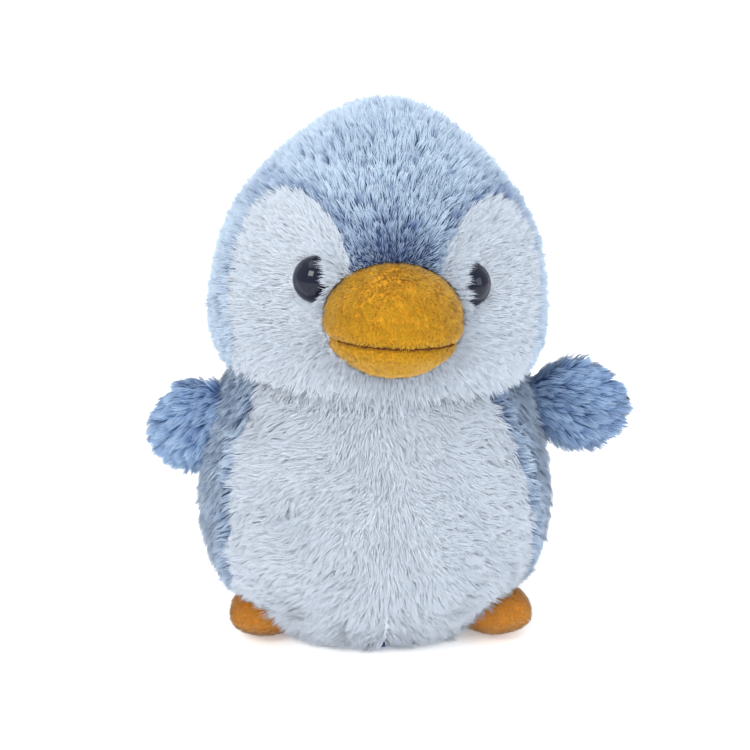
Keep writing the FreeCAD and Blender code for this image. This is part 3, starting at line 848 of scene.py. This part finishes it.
# --- the long pile --------------------------------------------------------------------------------
def scattered(egg, density, seed, depth, wanted):
    """Roots on the skin where wanted says so, at about density to the square millimetre."""
    rng = np.random.default_rng(seed)
    run = np.linalg.norm(np.diff(egg.line, axis=0), axis=1)
    surface = (run * egg.line[1:, 0]).sum() * 2 * math.pi * (1 + egg.ratio) / 2
    s, phi = egg.scatter(int(surface * density), rng)
    outer, _ = egg.at(s, phi, 0)
    root, normal = egg.at(s, phi, depth(outer) + 0.2)
    chosen = wanted(outer, root)
    return root[chosen], normal[chosen], outer[chosen]


def head_flow(p, n):
    """Away from the beak over face and forehead, then down the back of the head."""
    away = across(p - np.array([0, -58, 116.0]), n)
    down = across(np.broadcast_to([0, 0, -1.0], p.shape), n)
    behind = np.clip((p[:, 1] - 5) / 30, 0, 1)[:, None]
    low = np.clip((108 - p[:, 2]) / 14, 0, 1)[:, None]
    mixed = away * (1 - behind) + down * behind + 0.5 * low * down
    over = beside_eye(p)[:, None] * np.stack([np.sign(p[:, 0]), 0 * p[:, 0], 0 * p[:, 0]], 1)
    return turned(across(mixed + 1.5 * over, n), n, 0.22 * wander(p, 20, 61))


def torso_flow(p, n):
    """Down the back and sides; outwards from the middle of the belly, fanning near the base."""
    down = across(np.broadcast_to([0, 0, -1.0], p.shape), n)
    out = across(np.stack([np.tanh(p[:, 0] / 5), 0 * p[:, 0], 0 * p[:, 0]], 1), n)
    white = belly(p[:, 0], p[:, 2]) & (p[:, 1] < 0)
    low = np.clip((26 - p[:, 2]) / 16, 0, 1)
    spread = np.abs(p[:, 0]) / 24
    on_belly = 1.2 * np.minimum(spread, 1) * (1 - low) + 1.3 * low
    share = np.where(white, on_belly, -0.35 * np.clip(-p[:, 1] / 20, 0, 1))
    mixed = down * np.where(white, 0.55, 1.0)[:, None] + out * share[:, None]
    return turned(across(mixed, n), n, np.where(white, 0.50, 0.20) * wander(p, 19, 62))


def dark_share(p):
    """How dark the blue pile is: flecks everywhere, darkest above the beak and round the patches, and darker
    round the neck crease as painted shade.
    """
    peak = np.exp(-((p[:, 0] / 13) ** 2 + ((p[:, 2] - 140) / 9) ** 2)) * (p[:, 1] < 0)
    rim = np.zeros(len(p))
    for sign, most in ((1, 1.0), (-1, 0.7)):
        d = np.hypot((p[:, 0] - sign * LOBE_CENTRE[0]) / LOBE_SIZE[0],
                     (p[:, 2] - LOBE_CENTRE[1]) / LOBE_SIZE[1])
        top = np.clip((p[:, 2] - 138) / 10, 0, 1)
        rim = np.maximum(rim, most * np.exp(-((d - 1.04) / 0.10) ** 2) * (p[:, 1] < 5) * top)
    # a darker band round the neck crease: painted shade
    neck = np.exp(-((p[:, 2] - NECK_Z) / 8) ** 2)
    fleck = np.clip((wander(p * np.array([1, 1, 0.6]), 5.0, 6) - 0.80) * 2.2, 0, 1)
    return 0.08 + 0.10 * wander(p, 22, 5) + 0.72 * peak + 0.50 * rim + 0.15 * neck + 0.55 * fleck


def flecks_and_painted_side_shade(p):
    """The body's blue pile: the crown's flecks, and darker than the crown's as painted shade over the sides
    and back.
    """
    return 0.30 + dark_share(p) * 0.8


def white_shade(p):
    return 0.30 + 0.22 * wander(p, 14, 8)


def on_side(o, side):
    return o[:, 0] * SIDES[side] >= 0


def in_patch(o):
    return patch(o[:, 0], o[:, 2]) & (o[:, 1] < 0)


def in_belly(o):
    return belly(o[:, 0], o[:, 2]) & (o[:, 1] < 0)


def on_head(outer, root):
    """Where the head's pile may start: clear of the eyes, the beak and the neck."""
    clear = (off_eye(root) > EYE_CLEAR) & ~inside(beak_frame(), BEAK_SIZE - 1.6, root)
    return clear & (outer[:, 2] > NECK_Z + 2)


def on_torso(outer, root):
    """Where the torso's pile may start: clear of the feet, the neck and the floor."""
    in_foot = [inside(foot_frame(side), FOOT_SIZE - 0.4, root) for side in SIDES]
    return ~(in_foot[0] | in_foot[1]) & (outer[:, 2] < NECK_Z - 1) & (root[:, 2] > 1.2)


GROUND = {                # body: egg, depth of its skin, comb, where pile may start, what it keeps clear of
    "head": (HEAD, head_depth, head_flow, on_head, HEAD_KEEP_OUT),
    "torso": (TORSO, torso_depth, torso_flow, on_torso, TORSO_KEEP_OUT),
}
LOOK = {                  # pile: material, strands to the square millimetre, length, width, and its tufts
    "face": (WHITE, 4.7, 4.4, 0.25, dict(
        lean=(0.30, 0.90), clump=3.4, gather=0.30, softness=5.0)),
    "crown": (BLUE, 3.8, 4.6, 0.27, dict(
        lean=(0.12, 0.80), clump=3.8, gather=0.44, softness=3.0, rings=COARSE)),
    "head_back": (BLUE, 2.8, 5.4, 0.34, dict(
        lean=(0.25, 1.0), clump=3.2, gather=0.46, softness=2.4, rings=COARSE)),
    "belly": (WHITE, 3.9, 5.2, 0.27, dict(
        lean=(0.40, 1.05), clump=4.7, gather=0.32, softness=5.0, rings=COARSE)),
    "back": (BLUE, 1.8, 5.8, 0.40, dict(
        lean=(0.30, 1.0), clump=2.9, gather=0.50, softness=2.2, rings=COARSE)),
}


def thickened(root, normal, outer, chosen, seed):
    """Four more strands close to each chosen one, for the solid tufts that lie over the eyes."""
    more = np.repeat(chosen, 4)
    shift = np.random.default_rng(seed + 50).normal(size=(len(more), 3)) * 0.45
    shift -= normal[more] * (shift * normal[more]).sum(1, keepdims=True)
    extra = root[more] + shift
    clear = off_eye(extra) > EYE_CLEAR
    more = more[clear]
    return (np.concatenate([root, extra[clear]]), np.concatenate([normal, normal[more]]),
            np.concatenate([outer, outer[more]]))


def egg_pile(kind, side, body, seed, wanted, shade, *replaces):
    """One side's long pile of one kind, on the head or the torso."""
    material, density, length, width, tufts = LOOK[kind]
    egg, depth, flow, allowed, keep_out = GROUND[body]
    seed += SIDES[side]
    root, normal, outer = scattered(egg, density, seed, depth,
                                    lambda o, r: on_side(o, side) & wanted(o) & allowed(o, r))
    flat, near = None, np.ones(len(root))
    if body == "head":
        root, normal, outer = thickened(root, normal, outer, np.flatnonzero(beside_eye(root) > 0.2), seed)
        over = beside_eye(root)
        near = 0.75 + 0.25 * np.clip((off_eye(root) - 7.5) / 6, 0, 1) + over
        near = near + 0.35 * np.clip((100 - root[:, 2]) / 8, 0, 1)
        flat = 0.35 + 0.65 * np.clip((off_beak(root) - 1) / 7, 0, 1)
        flat = np.maximum(flat, 0.9 * over)
    ob = pile(f"{kind}_pile_{side}", material, body, root, normal, flow(root, normal), length * near, width,
              shade(outer), seed + 1, keep_out=keep_out, flat=flat, **tufts)
    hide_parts(*replaces)


for side in SIDES:
    egg_pile("face", side, "head", 20, in_patch, white_shade, f"face_panel_{side}")
    egg_pile("crown", side, "head", 30, lambda o: ~in_patch(o) & (o[:, 1] < CROWN_BACK_Y), dark_share,
             *(["crown_panel"] if side == "left" else []))
    egg_pile("head_back", side, "head", 40, lambda o: o[:, 1] >= CROWN_BACK_Y, dark_share,
             f"head_back_panel_{side}")
    egg_pile("belly", side, "torso", 50, in_belly, white_shade, f"belly_panel_{side}")
    egg_pile("back", side, "torso", 60, lambda o: ~in_belly(o), flecks_and_painted_side_shade, f"back_panel_{side}")


# --- neck -----------------------------------------------------------------------------------------
def past_white(p):
    """Above 0 outside the white front of the neck, and below 0 inside it."""
    return np.maximum(np.abs(p[:, 0]) - NECK_WHITE, p[:, 1])


def neck_sleeve():
    """The loose skin inside the crease, and the pile on it."""
    rows, around = 11, 96
    z = np.repeat(np.linspace(NECK_Z - 6, NECK_Z + 6, rows), around)
    phi = np.tile(np.linspace(0, 2 * math.pi, around, endpoint=False), rows)
    swell = 1 - 0.5 * ((z - NECK_Z) / 14) ** 2
    co = np.stack([NECK_HALF_WIDTH * swell * np.cos(phi), NECK_HALF_DEPTH * swell * np.sin(phi), z], 1)
    ends = np.array([[0, 0, NECK_Z - 6], [0, 0, NECK_Z + 6]])
    quads, caps = ring_faces(rows, around)
    sleeve = mesh_object("neck_skin", np.concatenate([co, ends]), [quads, caps], WHITE_CLOTH)
    sleeve.data.materials.append(BLUE_CLOTH)
    flags = np.zeros(len(sleeve.data.polygons), np.int32)
    flags[:len(quads)] = (past_white(co[quads].mean(1)) > 0).astype(int)
    sleeve.data.polygons.foreach_set("material_index", flags)
    pieces = [sleeve]
    for name, material, slot, sign, density, seed, shade in (
            ("neck_white_pile", WHITE, "white_plush", -1, 3.2, 121, white_shade),
            ("neck_blue_pile", BLUE, "grey_blue_plush", 1, 1.8, 123, dark_share)):
        root, normal = grown_on(sleeve, density, seed,
                                lambda p, n: (np.abs(n[:, 2]) < 0.7) & (sign * past_white(p) > 0))
        comb = across(np.broadcast_to([0, 0, -1.0], root.shape), normal)
        pieces.append(pile(name, material, None, root, normal, comb, 5.0, 0.34, shade(root), seed + 1,
                           lean=(0.2, 0.9), clump=3.0, gather=0.25, softness=4.0))
    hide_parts("neck_stuffing")
    for piece in pieces:
        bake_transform(piece)


neck_sleeve()


# --- base -----------------------------------------------------------------------------------------
def base_pad():
    """The oval base panel, a little drawn in along its seam, flat on the table."""
    rows, around = 22, 120
    t = np.repeat(np.linspace(0, 1, rows), around)
    phi = np.tile(np.linspace(0, 2 * math.pi, around, endpoint=False), rows)
    radius = np.sin(t * math.pi) ** 0.5 * BASE_RADIUS * 0.985 + 0.4
    pucker = 0.22 * np.sin(phi * 44) * (radius / BASE_RADIUS) ** 8
    under = t < 0.5
    edge = np.where(under, 1, -0.3) * 0.9 * (radius / BASE_RADIUS) ** 10
    height = np.where(under, 0.18, 2.6) + edge + pucker
    co = np.stack([radius * np.cos(phi), radius * np.sin(phi) * TORSO_DEPTH, np.maximum(height, 0.12)], 1)
    ends = np.array([[0, 0, 0.18], [0, 0, 2.6]])
    faces = list(ring_faces(rows, around))
    ob = mesh_object("base_skin", np.concatenate([co, ends]), faces, BLUE_CLOTH, "torso")
    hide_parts("base_panel")


base_pad()


# --- plastic parts --------------------------------------------------------------------------------
for side in SIDES:
    for node, material in ((f"eye_{side}", EYE), (f"eye_washer_{side}", WASHER)):
        for kept in bpy.data.objects[node].material_slots:
            kept.material = material


# --- camera, light, floor -------------------------------------------------------------------------
def sweep():
    """Floor and backdrop in one curved sheet."""
    profile = [(-2.5, 0), (1.4, 0)]
    profile += [(1.4 + 0.8 * math.sin(a), 0.8 - 0.8 * math.cos(a)) for a in np.linspace(0.1, math.pi / 2, 14)]
    profile += [(2.2, 3.0)]
    co = np.array([(x, y, z) for y, z in profile for x in (-3.5, 3.5)]) / MM
    k = np.arange(len(profile) - 1) * 2
    ob = mesh_object("floor", co, [np.stack([k, k + 1, k + 3, k + 2], 1)], FLOOR)


AZIMUTH, ELEVATION, DISTANCE = math.radians(-5), math.radians(17), 0.45
AIM = 0.0865              # height of the point that the camera looks at, in metres
LIGHTS = (                # name, place in metres, size, watts, colour
    ("key", (-0.55, -0.8, 0.9), 0.5, 8, (1.0, 0.99, 0.97)),
    ("fill", (0.9, -0.7, 0.5), 0.6, 3, (0.92, 0.96, 1.0)),
    ("top", (0.05, 0.15, 1.2), 1.2, 7, (0.97, 0.98, 1.0)))


def studio():
    """The camera, three soft lights and a pale sky."""
    az, el = AZIMUTH, ELEVATION
    target = Vector((0, 0, AIM))
    back = Vector((math.sin(az) * math.cos(el), -math.cos(az) * math.cos(el), math.sin(el)))
    cam = bpy.data.cameras.new("camera")
    cam.lens, cam.sensor_width = 63.0, 36.0
    ob = bpy.data.objects.new("camera", cam)
    bpy.context.collection.objects.link(ob)
    ob.location = target + back * DISTANCE
    ob.rotation_euler = back.to_track_quat("Z", "Y").to_euler()
    bpy.context.scene.camera = ob
    for name, at, size, power, colour in LIGHTS:
        light = bpy.data.lights.new(name, "AREA")
        light.size, light.energy, light.color = size, power, colour
        lamp = bpy.data.objects.new(name, light)
        bpy.context.collection.objects.link(lamp)
        lamp.location = at
        lamp.rotation_euler = (Vector(at) - target).to_track_quat("Z", "Y").to_euler()
    world = bpy.data.worlds.new("studio")
    bpy.context.scene.world = world
    world.use_nodes = True
    sky = world.node_tree.nodes["Background"]
    sky.inputs["Color"].default_value = (0.95, 0.975, 1.0, 1)
    sky.inputs["Strength"].default_value = 0.9
    bpy.context.scene.view_settings.view_transform = "Standard"


def lean_head():
    """Everything on the head is made upright, then leaned with the head's solids."""
    pivot = Vector((0, 0, NECK_Z * MM))
    lean = Matrix.Rotation(math.radians(HEAD_LEAN), 4, "Y")
    lean = Matrix.Translation(pivot) @ lean @ Matrix.Translation(-pivot)
    for piece in HEAD_PIECES:
        piece.data.transform(lean)


lean_head()
sweep()
studio()
